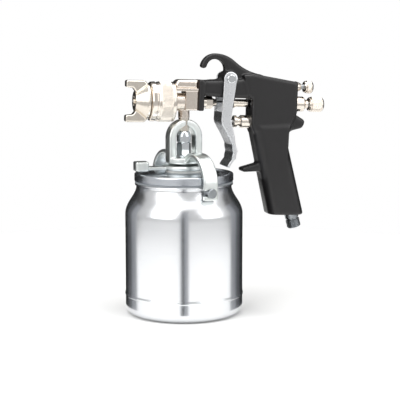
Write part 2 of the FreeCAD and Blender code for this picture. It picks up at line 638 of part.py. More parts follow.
# ---- trigger pin: slotted head on the near side, thread for the screw on the far side -------------
PIVOT = GUN.multiply(along(pivot_x, 0, pivot_up, Z_AXIS, -90))
pin_turn = turned("pin_turn",
                  [(-13.0, 0), (-13.0, pivot_radius), (13.9, pivot_radius), (13.9, 4.0),
                   (15.0, 3.9), (15.4, 3.2), (15.4, 0)])
pin_thread = rear_bar("pin_thread", 1.2, -14.0, -4.0)
pin_slot = block("pin_slot", 1.0, 9.0, 0.9, (14.9, -4.5, -0.45))
deliver(cut("trigger_pin", pin_turn, [pin_thread, pin_slot]), "trigger_pin", PIVOT)
screw_turn = turned("screw_turn", [(-15.2, 0), (-15.2, 3.0), (-14.6, 3.8), (-13.9, 3.8),
                                   (-13.9, 1.2), (-5.0, 1.2), (-5.0, 0)])
screw_slot = block("screw_slot", 1.0, 9.0, 0.9, (-15.6, -4.5, -0.45))
deliver(cut("trigger_screw", screw_turn, [screw_slot]), "trigger_screw", PIVOT)

# ---- air inlet: steel connector with its parallel thread ------------------------------------------
INLET = GUN.multiply(grip_place)
inlet_turn = stood("inlet_turn",
                   [(4.0, -11.8), (inlet_radius - 0.2, -11.8), (inlet_radius - 0.2, 3.8),
                    (5.6, 4.2), (5.6, 4.8), (inlet_radius, 5.6), (inlet_radius, 12.2),
                    (inlet_radius - 0.9, 13.1), (4.0, 13.1)])
deliver(inlet_turn, "air_inlet_connector", INLET)

# ---- cup: drawn aluminium shell with its two riveted studs ------------------------------------------
cup_inner = cup_radius - cup_wall
neck_inner = neck_radius - cup_wall
cup_shell = stood(
    "cup_shell", [(0, 0), (cup_radius - cup_bend, 0), (cup_radius, cup_bend, cup_bend),
               (cup_radius, bead_height - 1.2), (cup_radius, bead_height + 1.2, 1.5),
               (cup_radius, shoulder_start), (neck_radius + 5.4, 108.0, 26.0),
               (neck_radius, neck_start + 4.0, -20.0), (neck_radius, cup_top - 2.4),
               (neck_radius + 1.4, cup_top - 1.4), (neck_radius + 1.4, cup_top),
               (neck_inner, cup_top), (neck_inner, neck_start + 3.6),
               (neck_radius + 4.1, 107.2, 21.5), (cup_inner, shoulder_start, -24.5),
               (cup_inner, cup_bend), (cup_radius - cup_bend, cup_wall, -(cup_bend - cup_wall)),
               (0, cup_wall)])
deliver(cup_shell, "cup_shell")


def clamp_stud(name, side):
    """A round stud, its foot saddled to the neck and its head outside the clamp's hook."""
    body = turned(name, [(neck_radius - 0.5, 0), (neck_radius - 0.5, 2.4), (52.6, 2.4), (52.6, 4.3),
                         (53.8, 4.3), (54.4, 3.6), (54.4, 0)])
    body.Placement = Placement(Vector(0, 0, plain(stud_height)),
                               Rotation(Z_AXIS, plain(stud_angle) - 90 * side))
    return cut(name + "_saddled", body, [cup_shell])


deliver(group("cup_studs", [clamp_stud("near_stud", 1), clamp_stud("far_stud", -1)]), "cup_studs")

# ---- lid, gasket and suction line ----------------------------------------------------------------------
lid_floor = cup_top + gasket_height
lid_top = lid_floor + lid_band
deliver(stood("lid_gasket", [(neck_inner - 0.5, cup_top), (neck_radius + 1.2, cup_top),
                             (neck_radius + 1.2, lid_floor), (neck_inner - 0.5, lid_floor)]),
        "lid_gasket")
deliver(stood("lid",
              [(tube_radius, 126.0), (neck_inner - 4.0, 126.0), (neck_inner - 4.0, 117.0),
               (neck_inner - 0.8, 117.0), (neck_inner - 0.6, lid_floor),
               (lid_radius - 0.8, lid_floor), (lid_radius, lid_floor + 0.8),
               (lid_radius, lid_top - 1.6), (lid_radius - 1.6, lid_top, 1.6),
               (lid_radius - 3.4, lid_top), (lid_radius - 4.6, lid_top - 1.2),
               (26.0, lid_top + 0.6, 120.0), (22.0, lid_top + 1.0), (tube_radius, lid_top + 1.0)]),
        "lid")

deliver(stood("fluid_tube", [(2.2, 8.0), (tube_radius, 8.0), (tube_radius, 160.0), (2.2, 160.0)]),
        "fluid_tube")
nipple_turn = stood("fluid_nipple_turn",
                    [(2.0, 160.0), (tube_radius, 160.0), (tube_radius, 168.6), (4.9, 168.8),
                     (4.9, 180.4), (3.4, 180.4), (3.4, 183.5), (2.0, 183.5)])
deliver(nipple_turn, "fluid_inlet_nipple")
deliver(stood("coupling_nut",
              [(tube_radius, 158.2), (6.0, 158.2), (6.5, 159.0), (6.5, 162.0), (4.9, 168.2, 9.0),
               (tube_radius, 168.4)]), "coupling_nut")
lock_hex = hexagon("lock_hex", 11.6, 146.4, 157.8)
lock_turn = stood("lock_turn", [(0, 146.4), (5.9, 146.4), (6.7, 147.2), (6.7, 157.0),
                                (5.9, 157.8), (0, 157.8)])
deliver(cut("lock_nut", shared("lock_crop", lock_turn, lock_hex),
            [bar("lock_drill", tube_radius, 14.0, along(z=145.0))]), "lock_nut")
deliver(stood("tube_collar",
              [(tube_radius, lid_top + 1.0), (7.6, lid_top + 1.0), (7.6, lid_top + 1.8),
               (5.0, lid_top + 1.8), (5.0, 145.6), (6.2, 145.6), (6.2, 146.4),
               (tube_radius, 146.4)]), "tube_collar")

# ---- clamp: cam washer, cam lever and the cast yoke whose arms hook under the studs ------------------
deliver(stood("cam_washer", [(7.9, lid_top + 1.0), (17.0, lid_top + 1.0), (17.0, 133.4),
                             (7.9, 133.4)]), "cam_washer")
cam_disc = stood("cam_disc", [(5.3, 133.6), (19.4, 133.6), (20.2, 134.4), (20.2, 136.4),
                              (19.2, 137.4), (9.0, 138.4), (5.3, 138.4)])
cam_arm = plate("cam_arm", [(-36.0, -5.6), (-14.0, -8.0), (-14.0, 8.0), (-36.0, 5.6)],
                2.6, role="XY_Plane")
cam_arm.Placement = along(z=135.2)
cam_tab = plate("cam_tab", [(-46.4, -7.2), (-34.0, -7.2), (-34.0, 7.2), (-46.4, 7.2)],
                8.4, corners=[(-46.4, -7.2, 3.0), (-46.4, 7.2, 3.0), (-34.0, -7.2, 2.0),
                              (-34.0, 7.2, 2.0)], rim=1.0, role="XY_Plane")
cam_tab.Placement = along(z=137.2)
deliver(joined("cam_lever", [cam_disc, cam_arm, cam_tab]), "cam_lever")

arm_half = arm_thick / 2
bend_start = arm_radius - arm_bend
bend_level = arm_top - arm_bend
arm_under, arm_over = arm_top - arm_half, arm_top + arm_half
arm_inside, arm_outside = arm_radius - arm_half, arm_radius + arm_half
yoke_arms = []
for i in range(2):
    arm = plate("yoke_arm" + str(i),
                [(6.0, 139.6), (15.0, 140.2), (bend_start - 3.0, arm_under - 0.4),
                 (bend_start, arm_under), (arm_inside, bend_level, -(arm_bend - arm_half)),
                 (arm_inside, arm_foot), (arm_outside, arm_foot), (arm_outside, bend_level),
                 (bend_start, arm_over, arm_bend + arm_half), (bend_start - 6.0, arm_over),
                 (10.0, 144.6), (6.0, 144.6)],
                arm_width, rim=1.2)
    stud_eye = bar("stud_eye" + str(i), 2.7, 12.0,
                   Placement(Vector(44.0, 0, plain(stud_height)), Rotation(Y_AXIS, 90)))
    notch = block("stud_notch" + str(i), 12.0, 9.0, 5.4,
                  (44.0, -9.0, plain(stud_height) - 2.7))
    hooked = cut("yoke_hook" + str(i), arm, [stud_eye, notch])
    hooked.Placement = Placement(Vector(), Rotation(Z_AXIS, 180 * i - 90))
    yoke_arms.append(hooked)
yoke_base = stood("yoke_base", [(5.3, 139.4), (arch_half - 0.6, 139.4), (arch_half, 140.2),
                                (arch_half, 144.0), (arch_half - 0.8, 144.8), (5.3, 144.8)])
crown_level = arch_top - arch_half
arch_ring = plate("yoke_arch",
                  [(-arch_half, 140.4), (-arch_half, crown_level), (0, arch_top, -arch_half),
                   (arch_half, crown_level, -arch_half), (arch_half, 140.4),
                   (arch_half - arch_band, 140.4), (arch_half - arch_band, crown_level),
                   (0, arch_top - arch_band, arch_half - arch_band),
                   (arch_band - arch_half, crown_level, arch_half - arch_band),
                   (arch_band - arch_half, 140.4)], arch_depth, rim=1.8)
arch_eye = bar("arch_eye", 5.3, 20.0, along(z=165.0))
yoke_solid = joined("yoke_solid", yoke_arms + [yoke_base, arch_ring])
deliver(cut("yoke", yoke_solid, [arch_eye]), "yoke", CLAMP)

# ---- checks and export -----------------------------------------------------------------------------
doc.recompute()
for item in doc.Objects:
    if "Invalid" in item.State or "Error" in item.State:
        raise RuntimeError(item.Name + " failed: " + str(item.State))
for item in nodes:
    if item.Shape.isNull() or not item.Shape.isValid():
        raise RuntimeError(item.Label + " has no valid shape")
os.makedirs("parts", exist_ok=True)
for item in nodes:
    item.Shape.exportStep(os.path.join("parts", item.Label + ".step"))
    print(item.Label, len(item.Shape.Solids), round(item.Shape.Volume, 1))
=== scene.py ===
import bmesh
import bpy
import math
import numpy as np
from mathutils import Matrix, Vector


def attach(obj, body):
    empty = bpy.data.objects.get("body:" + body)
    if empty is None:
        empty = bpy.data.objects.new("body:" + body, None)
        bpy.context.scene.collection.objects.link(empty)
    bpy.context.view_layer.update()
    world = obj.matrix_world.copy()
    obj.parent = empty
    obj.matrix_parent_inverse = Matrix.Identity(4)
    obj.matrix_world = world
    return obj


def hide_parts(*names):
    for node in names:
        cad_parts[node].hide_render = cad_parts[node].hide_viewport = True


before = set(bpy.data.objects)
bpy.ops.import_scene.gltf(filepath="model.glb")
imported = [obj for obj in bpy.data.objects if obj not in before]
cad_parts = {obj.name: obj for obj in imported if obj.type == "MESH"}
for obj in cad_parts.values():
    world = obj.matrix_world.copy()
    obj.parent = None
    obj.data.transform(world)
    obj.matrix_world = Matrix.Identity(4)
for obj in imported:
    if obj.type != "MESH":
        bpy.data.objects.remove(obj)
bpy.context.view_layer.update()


# ---- Gun body ------------------------------------------------------------------------------
# A one-piece aluminium casting: barrel, valve block, grip, finger guard, spur and hanging hook.
# It is shot blasted, then sprayed with black stoving enamel, which leaves a fine orange peel.
def paint(hex_code):
    """Linear RGBA of an sRGB hex colour."""
    parts = [int(hex_code[i:i + 2], 16) / 255 for i in (1, 3, 5)]
    return [p / 12.92 if p <= 0.04045 else ((p + 0.055) / 1.055) ** 2.4 for p in parts] + [1]


def add(tree, kind, sets=(), **links):
    """Adds one node; sets holds its own values and its inputs' values, links joins its inputs."""
    made = tree.nodes.new(kind)
    for name, value in dict(sets).items():
        if name in made.inputs:
            made.inputs[name].default_value = value
        else:
            setattr(made, name, value)
    for name, output in links.items():
        tree.links.new(output, made.inputs[name.replace("_", " ")])
    return made


def finish(name, light, dark, patch_mm, roughness, grain_mm, relief_mm, stretch=(1, 1, 1),
           **shader):
    """A surface finish: the colour drifts between two close tones over patches, and a finer
    grain swings the roughness between its two values and stands up by the relief."""
    material = bpy.data.materials.new(name)
    material.use_nodes = True
    tree = material.node_tree
    coated = tree.nodes["Principled BSDF"]
    place = add(tree, "ShaderNodeTexCoord").outputs["Object"]
    drift = add(tree, "ShaderNodeTexNoise", {"Scale": 1000 / patch_mm, "Detail": 3.0},
                Vector=place)
    tones = add(tree, "ShaderNodeMix", {"data_type": "RGBA"}, Factor=drift.outputs["Fac"])
    tones.inputs[6].default_value = paint(dark)
    tones.inputs[7].default_value = paint(light)
    along = add(tree, "ShaderNodeMapping", {"Scale": stretch}, Vector=place)
    grain = add(tree, "ShaderNodeTexNoise", {"Scale": 1000 / grain_mm, "Detail": 2.0},
                Vector=along.outputs["Vector"])
    sheen = add(tree, "ShaderNodeMapRange", {"From Min": 0.3, "From Max": 0.7,
                                             "To Min": roughness[0], "To Max": roughness[1]},
                Value=grain.outputs["Fac"])
    relief = add(tree, "ShaderNodeBump", {"Distance": relief_mm / 1000},
                 Height=grain.outputs["Fac"])
    tree.links.new(tones.outputs[2], coated.inputs["Base Color"])
    tree.links.new(sheen.outputs["Result"], coated.inputs["Roughness"])
    tree.links.new(relief.outputs["Normal"], coated.inputs["Normal"])
    for key, value in shader.items():
        coated.inputs[key.replace("_", " ")].default_value = value
    return material


def dress(material, *names):
    """Gives a finish to carried-over CAD pieces."""
    for name in names:
        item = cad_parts[name]
        item.data.materials.clear()
        item.data.materials.append(material)


def cast_copy(node, body, grain_mm, passes, material):
    """A casting's soft form: a merged copy of the CAD piece, remade on a grid of the grain's
    size and relaxed, so that its seams blend and its edges carry a small radius."""
    item = bpy.data.objects.new(node + "_cast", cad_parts[node].data.copy())
    bpy.context.scene.collection.objects.link(item)
    work = bmesh.new()
    work.from_mesh(item.data)
    bmesh.ops.remove_doubles(work, verts=work.verts, dist=1e-7)
    work.to_mesh(item.data)
    work.free()
    grid = item.modifiers.new("grid", "REMESH")
    grid.mode = "VOXEL"
    grid.voxel_size = grain_mm / 1000
    grid.use_smooth_shade = True
    relaxed = item.modifiers.new("relaxed", "SMOOTH")
    relaxed.factor = 0.5
    relaxed.iterations = passes
    ready = item.evaluated_get(bpy.context.evaluated_depsgraph_get())
    mesh = bpy.data.meshes.new_from_object(ready)
    item.modifiers.clear()
    item.data = mesh
    mesh.shade_smooth()
    mesh.materials.clear()
    mesh.materials.append(material)
    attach(item, body)
    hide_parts(node)


# Stoving enamel: near black, satin, 1.2 mm orange peel that breaks its highlights up softly.
enamel = finish("black_stoving_enamel", "#1d1c1d", "#171617", 30.0, (0.30, 0.42), 1.2, 0.03,
                IOR=1.5)
cast_copy("gun_body", "gun", 0.8, 9, enamel)


# ---- Head ----------------------------------------------------------------------------------
# A brass forging that carries the nozzle in front and the cup's inlet below; a fibre gasket
# seals it to the barrel's flange.  Bright nickel plate over lightly blasted skin.
# Nickel: warm white metal; the blasted skin under the plate softens reflections over 0.9 mm.
forged_nickel = finish("nickel_plated_forging", "#e8e0d6", "#dccfc4", 9.0, (0.16, 0.28), 0.9,
                       0.03, Metallic=1.0)
cast_copy("head", "gun", 0.3, 3, forged_nickel)
# Vulcanised fibre: dense brown sheet, matt, with a faint 2 mm mottle.
fibre = finish("vulcanised_fibre", "#3a2c24", "#2c211b", 2.0, (0.6, 0.8), 0.4, 0.02)
dress(fibre, "head_gasket")


# ---- Fluid nozzle and air baffle ---------------------------------------------------------------
# The nozzle is turned from bar and plated, the baffle behind the cap is plain drilled brass.
# Turned nickel: the plate keeps the lathe's fine rings, so it is a little brighter one way.
turned_nickel = finish("nickel_plated_turning", "#ece5db", "#dfd5ca", 14.0, (0.10, 0.20), 0.5,
                       0.01, Metallic=1.0)
dress(turned_nickel, "fluid_nozzle")
# Brass bar: yellow metal with a soft machined sheen.
brass = finish("turned_brass", "#d9b56a", "#c9a257", 6.0, (0.20, 0.32), 0.5, 0.01, Metallic=1.0)
dress(brass, "air_baffle")


# ---- Retaining ring ----------------------------------------------------------------------------
# The threaded ring that draws the air cap on to the nozzle.  It is turned from brass, its grip
# is rolled with a straight knurl between two smooth lips, and it is nickel plated.
PITCH = math.radians(1.9)
NEEDLE_START = np.array([-1.0, 0.0, 194.9])


def on_gun(points):
    """Turns points from the needle's axis (x rearwards) nose-up by the pitch, and lifts them."""
    x, y, z = points[..., 0], points[..., 1], points[..., 2]
    turned = np.stack([x * math.cos(PITCH) + z * math.sin(PITCH), y,
                       z * math.cos(PITCH) - x * math.sin(PITCH)], axis=-1)
    return turned + NEEDLE_START


def softened(outline, radius, steps=4):
    """Rounds the corners of a closed outline: each corner P becomes the curve
    (1-t)^2 A + 2t(1-t) P + t^2 B, with A and B the radius away along its two sides."""
    corner = np.array(outline, float)
    before, after = np.roll(corner, 1, 0) - corner, np.roll(corner, -1, 0) - corner
    ends = []
    for side in (before, after):
        length = np.maximum(np.linalg.norm(side, axis=1, keepdims=True), 1e-9)
        reach = np.where(corner[:, 1:] == 0, 0, np.minimum(radius, 0.45 * length))
        ends.append(corner + side / length * reach)
    t = np.linspace(0, 1, steps)[None, :, None]
    curve = (1 - t) ** 2 * ends[0][:, None] + 2 * t * (1 - t) * corner[:, None] \
        + t ** 2 * ends[1][:, None]
    return curve.reshape(-1, 2)


def refined(outline, spacing):
    """Adds points along a closed outline so that no two are further apart than the spacing."""
    closed = np.vstack([outline, outline[:1]])
    travel = np.concatenate([[0], np.cumsum(np.linalg.norm(np.diff(closed, axis=0), axis=1))])
    stops = np.unique(np.concatenate([travel[:-1], np.arange(0, travel[-1], spacing)]).round(4))
    return np.column_stack([np.interp(stops, travel, closed[:, k]) for k in (0, 1)])


def solid_mesh(name, points, material):
    """A closed mesh from a grid of points that wraps both ways: quad (i, j), (i+1, j),
    (i+1, j+1), (i, j+1); points that meet on the axis are merged into one pole."""
    rows, columns = points.shape[:2]
    index = np.arange(rows * columns).reshape(rows, columns)
    right, down = np.roll(index, -1, 1), np.roll(index, -1, 0)
    faces = np.stack([index, down, np.roll(right, -1, 0), right], -1).reshape(-1, 4)
    mesh = bpy.data.meshes.new(name)
    mesh.from_pydata((points.reshape(-1, 3) / 1000).tolist(), [], faces.tolist())
    work = bmesh.new()
    work.from_mesh(mesh)
    bmesh.ops.remove_doubles(work, verts=work.verts, dist=1e-7)
    loose = [edge for edge in work.edges if not edge.link_faces]
    bmesh.ops.delete(work, geom=loose, context="EDGES")
    work.to_mesh(mesh)
    work.free()
    mesh.shade_smooth()
    mesh.materials.append(material)
    item = bpy.data.objects.new(name, mesh)
    bpy.context.scene.collection.objects.link(item)
    even = item.modifiers.new("even_shading", "WEIGHTED_NORMAL")
    even.weight = 60
    return item


def spun(outline, columns, relief=None):
    """The surface of a turned piece: outline point (a, r) at turn t is (a, r cos t, r sin t),
    with r lowered by relief(a, r, t).  The outline is taken anticlockwise, to face outwards."""
    a, r = outline[:, 0], outline[:, 1]
    if np.sum(a * np.roll(r, -1) - np.roll(a, -1) * r) < 0:
        a, r = a[::-1], r[::-1]
    t = np.linspace(0, 2 * math.pi, columns, endpoint=False)[None, :]
    a, r = a[:, None] + 0 * t, r[:, None] + 0 * t
    if relief is not None:
        r = r - relief(a, r, t)
    return np.stack([a, r * np.cos(t), r * np.sin(t)], axis=-1)


def knurl(start, end, floor_radius, teeth, depth):
    """Relief of a straight knurl: rounded grooves, depth * sin^2(teeth t / 2), on the part
    from start to end that lies beyond the floor radius, fading in over 0.5 mm."""
    def relief(a, r, t):
        inside = np.clip((a - start) / 0.5, 0, 1) * np.clip((end - a) / 0.5, 0, 1)
        return depth * inside * (r > floor_radius) * np.sin(teeth * t / 2) ** 2
    return relief


ring_outline = [(-9.0, 15.5), (-9.0, 17.2), (-9.8, 18.0), (-11.2, 18.0), (-11.8, 17.5),
                (-12.4, 18.2), (-23.0, 18.2), (-23.6, 17.5), (-24.2, 18.1), (-25.0, 17.3),
                (-26.4, 17.3), (-27.0, 18.1), (-30.6, 17.8), (-31.5, 17.0), (-31.5, 15.2),
                (-30.1, 15.2), (-30.1, 16.5), (-24.3, 16.5), (-24.3, 15.5)]
ring_points = spun(refined(softened(ring_outline, 0.35), 0.8), 768,
                   knurl(-23.0, -12.4, 17.8, 96, 0.42))
retaining_ring = solid_mesh("retaining_ring_knurled", on_gun(ring_points), turned_nickel)
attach(retaining_ring, "retaining_ring")
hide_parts("retaining_ring")
# Turned PTFE: waxy off-white plastic, matt and featureless but for a faint mottle.
ptfe = finish("turned_ptfe", "#eeede8", "#e4e3dd", 8.0, (0.38, 0.5), 0.6, 0.01,
              Subsurface_Weight=0.05)
dress(ptfe, "ring_washer")


# ---- Air cap -----------------------------------------------------------------------------------
# A brass forging with two horns whose jets flatten the spray; machined inside and plated.
# It is a little duller than the turned pieces, with the forging's skin between machined faces.
cap_nickel = finish("nickel_plated_cap", "#ebe5da", "#dbd1c5", 7.0, (0.16, 0.28), 1.1, 0.03,
                    Metallic=1.0)
cast_copy("air_cap", "air_cap", 0.28, 2, cap_nickel)


# ---- Needle line -------------------------------------------------------------------------------
# A hardened steel needle runs through the gun; a PTFE packing under a plated nut seals it, and a
# collar lets the trigger draw it back against its spring.
# Polished stainless bar: cool and bright, ground lengthwise, so its grain is drawn out along X.
bright_bar = finish("polished_stainless_bar", "#e3e5e7", "#d2d5d8", 12.0, (0.08, 0.16), 0.7, 0.006,
                    stretch=(0.1, 1, 1), Metallic=1.0)
dress(bright_bar, "needle")
dress(ptfe, "needle_packing")
dress(turned_nickel, "packing_nut", "needle_collar")
dress(brass, "needle_stop")
# Drawn spring wire: grey steel with a dull drawn skin.
spring_wire = finish("drawn_spring_steel", "#8e9094", "#797b80", 4.0, (0.28, 0.42), 0.5, 0.01,
                     Metallic=1.0)
dress(spring_wire, "needle_spring")


# ---- Fluid control -----------------------------------------------------------------------------
# A plated bushing screwed into the block, a steel screw through it, and a knurled knob that sets
# how far the needle opens.  The knob is bar stock with a rolled straight knurl.
dress(turned_nickel, "fluid_control_bushing")
# Zinc plate on steel: grey, slightly blue, with a soft crystalline mottle.
zinc = finish("zinc_plated_steel", "#a7abae", "#8d9195", 3.0, (0.26, 0.42), 0.8, 0.02,
              Metallic=1.0)
dress(zinc, "fluid_control_screw")


def knob_outline(start, end, radius, bore, bore_end):
    """Outline of a crowned knob on a blind bore, with a turned groove behind its front lip."""
    return [(start, bore), (start, radius - 1.3), (start + 1.1, radius - 0.3),
            (start + 1.5, radius - 1.0), (start + 2.1, radius - 1.0), (start + 2.5, radius),
            (end - 2.4, radius), (end - 1.2, radius - 0.7), (end - 0.4, radius - 1.7),
            (end, radius - 3.4), (end, 0), (bore_end, 0), (bore_end, bore)]


knob_profile = refined(softened(knob_outline(120.8, 135.4, 7.0, 3.0, 130.0), 0.35), 0.7)
knob_points = spun(knob_profile, 384, knurl(123.3, 133.0, 6.6, 48, 0.34))
fluid_knob = solid_mesh("fluid_knob_knurled", on_gun(knob_points), turned_nickel)
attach(fluid_knob, "fluid_knob")
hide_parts("fluid_control_knob")


# ---- Pattern control -----------------------------------------------------------------------------
# The smaller valve above, which meters the air to the horns: bushing, stem, seal and its knob.
dress(turned_nickel, "spreader_bushing")
dress(zinc, "spreader_stem")
# Nitrile rubber: black, moulded, matt.
rubber = finish("moulded_nitrile", "#1c1c1d", "#151516", 5.0, (0.5, 0.7), 0.5, 0.02)
dress(rubber, "spreader_seal")
SPREADER_RISE = np.array([0, 0, 16.0])
spreader_profile = refined(softened(knob_outline(115.7, 124.6, 5.9, 1.8, 121.4), 0.3), 0.6)
spreader_points = spun(spreader_profile, 320, knurl(118.2, 122.2, 5.5, 40, 0.3))
spreader_knob = solid_mesh("spreader_knob_knurled",
                           on_gun(spreader_points + SPREADER_RISE), turned_nickel)
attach(spreader_knob, "spreader_knob")
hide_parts("spreader_knob")


# ---- Air valve ---------------------------------------------------------------------------------
# A poppet valve in the block behind the trigger: plated gland nut, PTFE packing and seat, steel
# stem, brass disc and a closing spring.
dress(turned_nickel, "air_valve_nut")
dress(ptfe, "air_valve_packing", "air_valve_seat")
dress(bright_bar, "air_valve_stem")
dress(brass, "air_valve_disc")
dress(spring_wire, "air_valve_spring")


# ---- Trigger -----------------------------------------------------------------------------------
# Steel sheet pressed to a channel: two legs hang from the pin and a web faces the fingers.  It is
# barrelled, so its edges are round, then polished and plated.
# Polished plate: nearly white, with soft 1.5 mm waves left by barrelling.
plated_sheet = finish("plated_steel_pressing", "#edeef0", "#dcdee1", 18.0, (0.26, 0.34), 1.5,
                      0.03, Metallic=1.0)
cast_copy("trigger", "trigger", 0.45, 14, plated_sheet)
dress(bright_bar, "trigger_pin", "trigger_screw")


# ---- Air inlet ---------------------------------------------------------------------------------
# A steel connector screwed into the grip, with a G1/4 parallel thread of 19 to the inch.
THREAD_PITCH = 25.4 / 19
GRIP_LEAN = math.radians(16.3)
INLET_START = np.array([108.4, 0.0, -103.0])


def screw_thread(start, end, floor_radius, depth):
    """Relief of a thread: a rounded V that advances one pitch per turn, depth times
    (1 - |2 frac((a - start) / pitch - t / 2pi) - 1|), run out over half a pitch at both ends."""
    def relief(a, r, t):
        phase = np.mod((a - start) / THREAD_PITCH - t / (2 * math.pi), 1.0)
        valley = 1 - np.abs(2 * phase - 1)
        inside = np.clip((a - start) / 0.7, 0, 1) * np.clip((end - a) / 0.7, 0, 1)
        return depth * inside * (r > floor_radius) * (3 * valley ** 2 - 2 * valley ** 3)
    return relief


inlet_outline = [(-11.8, 4.0), (-11.8, 6.38), (3.8, 6.38), (4.2, 5.6), (4.8, 5.6),
                 (5.6, 6.58), (12.2, 6.58), (13.1, 5.68), (13.1, 4.0)]
inlet_turned = spun(refined(softened(inlet_outline, 0.25), 0.16), 96,
                    screw_thread(5.2, 12.9, 5.9, 0.86))
# The connector's own axis runs down the grip: (a, u, v) goes to x = a sin(lean) + v cos(lean)
# and z = -a cos(lean) + v sin(lean).
a, u, v = inlet_turned[..., 0], inlet_turned[..., 1], inlet_turned[..., 2]
inlet_points = np.stack([a * math.sin(GRIP_LEAN) + v * math.cos(GRIP_LEAN), u,
                         v * math.sin(GRIP_LEAN) - a * math.cos(GRIP_LEAN)], axis=-1)
inlet = solid_mesh("air_inlet_threaded", on_gun(inlet_points + INLET_START), zinc)
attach(inlet, "gun")
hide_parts("air_inlet_connector")


# ---- Cup ---------------------------------------------------------------------------------------
# One litre cup drawn from aluminium sheet and spun to its shoulder, with a rolled bead above the
# base and a rolled lip.  It is buffed while it turns, so fine rings run round it.
def bend(centre, radius, start, end, steps=14):
    """Points of an arc from start to end, in degrees from the radius direction towards up."""
    turn = np.radians(np.linspace(start, end, steps))
    return np.column_stack([centre[1] + radius * np.sin(turn), centre[0] + radius * np.cos(turn)])


def smooth_run(points, steps):
    """A Catmull-Rom curve through the points, evaluated for all its spans at once."""
    p = np.array(points, float)
    p = np.vstack([2 * p[0] - p[1], p, 2 * p[-1] - p[-2]])
    t = np.linspace(0, 1, steps, endpoint=False)[None, :, None]
    a, b, c, d = (p[k:len(p) - 3 + k][:, None] for k in range(4))
    curve = 0.5 * (2 * b + (c - a) * t + (2 * a - 5 * b + 4 * c - d) * t ** 2
                   + (3 * b - a - 3 * c + d) * t ** 3)
    return np.vstack([curve.reshape(-1, 2), p[-2]])


CUP, WALL = 54.0, 1.5
bead = np.column_stack([19.0 + np.linspace(-1.6, 1.6, 13),
                        CUP + 0.55 * np.cos(np.linspace(-math.pi / 2, math.pi / 2, 13))])
shoulder = smooth_run([(92.0, CUP), (95.0, 53.85), (98.5, 53.0), (102.0, 51.5), (105.2, 49.6),
                       (108.0, 47.8), (111.0, 46.0), (114.0, 44.6), (117.0, 43.75)], 4)
inner_shoulder = np.column_stack([shoulder[:, 0] - 0.55, shoulder[:, 1] - WALL])[::-1]
cup_outline = np.vstack([
    [(0.9, 0.0), (0.9, 42.0), (0.6, 43.4), (0.0, 44.4)],
    bend((CUP - 9.0, 9.0), 9.0, -90, 0), [(17.0, CUP)], bead, [(21.2, CUP), (60.0, CUP)], shoulder,
    [(119.0, 43.7)], bend((43.9, 120.45), 1.15, -60, 90, 12),
    [(121.6, 42.6), (121.0, 42.2), (117.4, 42.2)], inner_shoulder, [(60.0, CUP - WALL)],
    bend((CUP - 9.0, 9.0), 7.5, 0, -90), [(WALL, 42.0), (1.6, 30.0), (1.6, 0.0)]])


def upright(points):
    """Turns a spun piece from its own axis to the row's Z: (a, u, v) goes to (u, v, a)."""
    return np.stack([points[..., 1], points[..., 2], points[..., 0]], axis=-1)


# Buffed aluminium: bright, slightly blue-white; its 18 mm grain is squeezed 22 times along Z into
# faint rings 0.8 mm apart, and the reflections stretch into upright bands.
buffed = finish("buffed_aluminium", "#eff0f2", "#e7e9ec", 40.0, (0.22, 0.26), 18.0, 0.005,
                stretch=(1, 1, 22), Metallic=1.0, Anisotropic=0.3)
around = add(buffed.node_tree, "ShaderNodeTangent", {"direction_type": "RADIAL", "axis": "Z"})
buffed.node_tree.links.new(around.outputs[0],
                           buffed.node_tree.nodes["Principled BSDF"].inputs["Tangent"])
cup = solid_mesh("cup_spun", upright(spun(refined(cup_outline, 3.0), 256)), buffed)
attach(cup, "gun")
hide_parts("cup_shell")
dress(zinc, "cup_studs")


# ---- Lid and suction line ------------------------------------------------------------------------
# The lid is an aluminium die casting, turned on its rim, that presses a polythene ring on the lip.
# The steel suction tube passes through it and is held to the head by a plated coupling nut.
# Turned die casting: greyer and duller than the cup, with rings 1.1 mm apart round its rim.
lid_metal = finish("turned_die_casting", "#dde1e6", "#ccd1d8", 12.0, (0.20, 0.27), 16.0, 0.03,
                   stretch=(1, 1, 14), Metallic=1.0)
dress(lid_metal, "lid")
# Natural polythene sheet: a soft grey-white washer, dulled where it is squeezed.
# Polythene sheet washer, soft and matt. Its own tone is grey-white, but it is coloured mid grey all
# over: painted shade that stands for the shadow line under the lid's rim.
polythene = finish("polythene_with_painted_shade", "#8f9498", "#7f8488", 5.0, (0.4, 0.55), 0.8, 0.02)
dress(polythene, "lid_gasket")
dress(bright_bar, "fluid_tube")
dress(turned_nickel, "fluid_inlet_nipple")
# Bright zinc plate: cooler than nickel, mirror-like on the turned nuts of the suction line.
bright_zinc = finish("bright_zinc_plate", "#e2e5e8", "#d0d4d8", 9.0, (0.10, 0.20), 0.6, 0.01,
                     Metallic=1.0)
dress(bright_zinc, "coupling_nut", "lock_nut", "tube_collar")


# ---- Clamp ---------------------------------------------------------------------------------------
# The cam lever lifts the yoke, whose two arms hook under the cup's studs; the yoke's arch goes
# round the suction line.  Both are aluminium castings, tumbled bright.
# Tumbled casting: pale silver, a shade green, with soft shallow dimples 2.5 mm across.
tumbled = finish("tumbled_aluminium_casting", "#eef1f0", "#e1e7e4", 10.0, (0.28, 0.36), 2.5, 0.03,
                 Metallic=1.0)
dress(ptfe, "cam_washer")
cast_copy("cam_lever", "cam_lever", 0.4, 3, tumbled)
cast_copy("yoke", "yoke", 0.5, 3, tumbled)


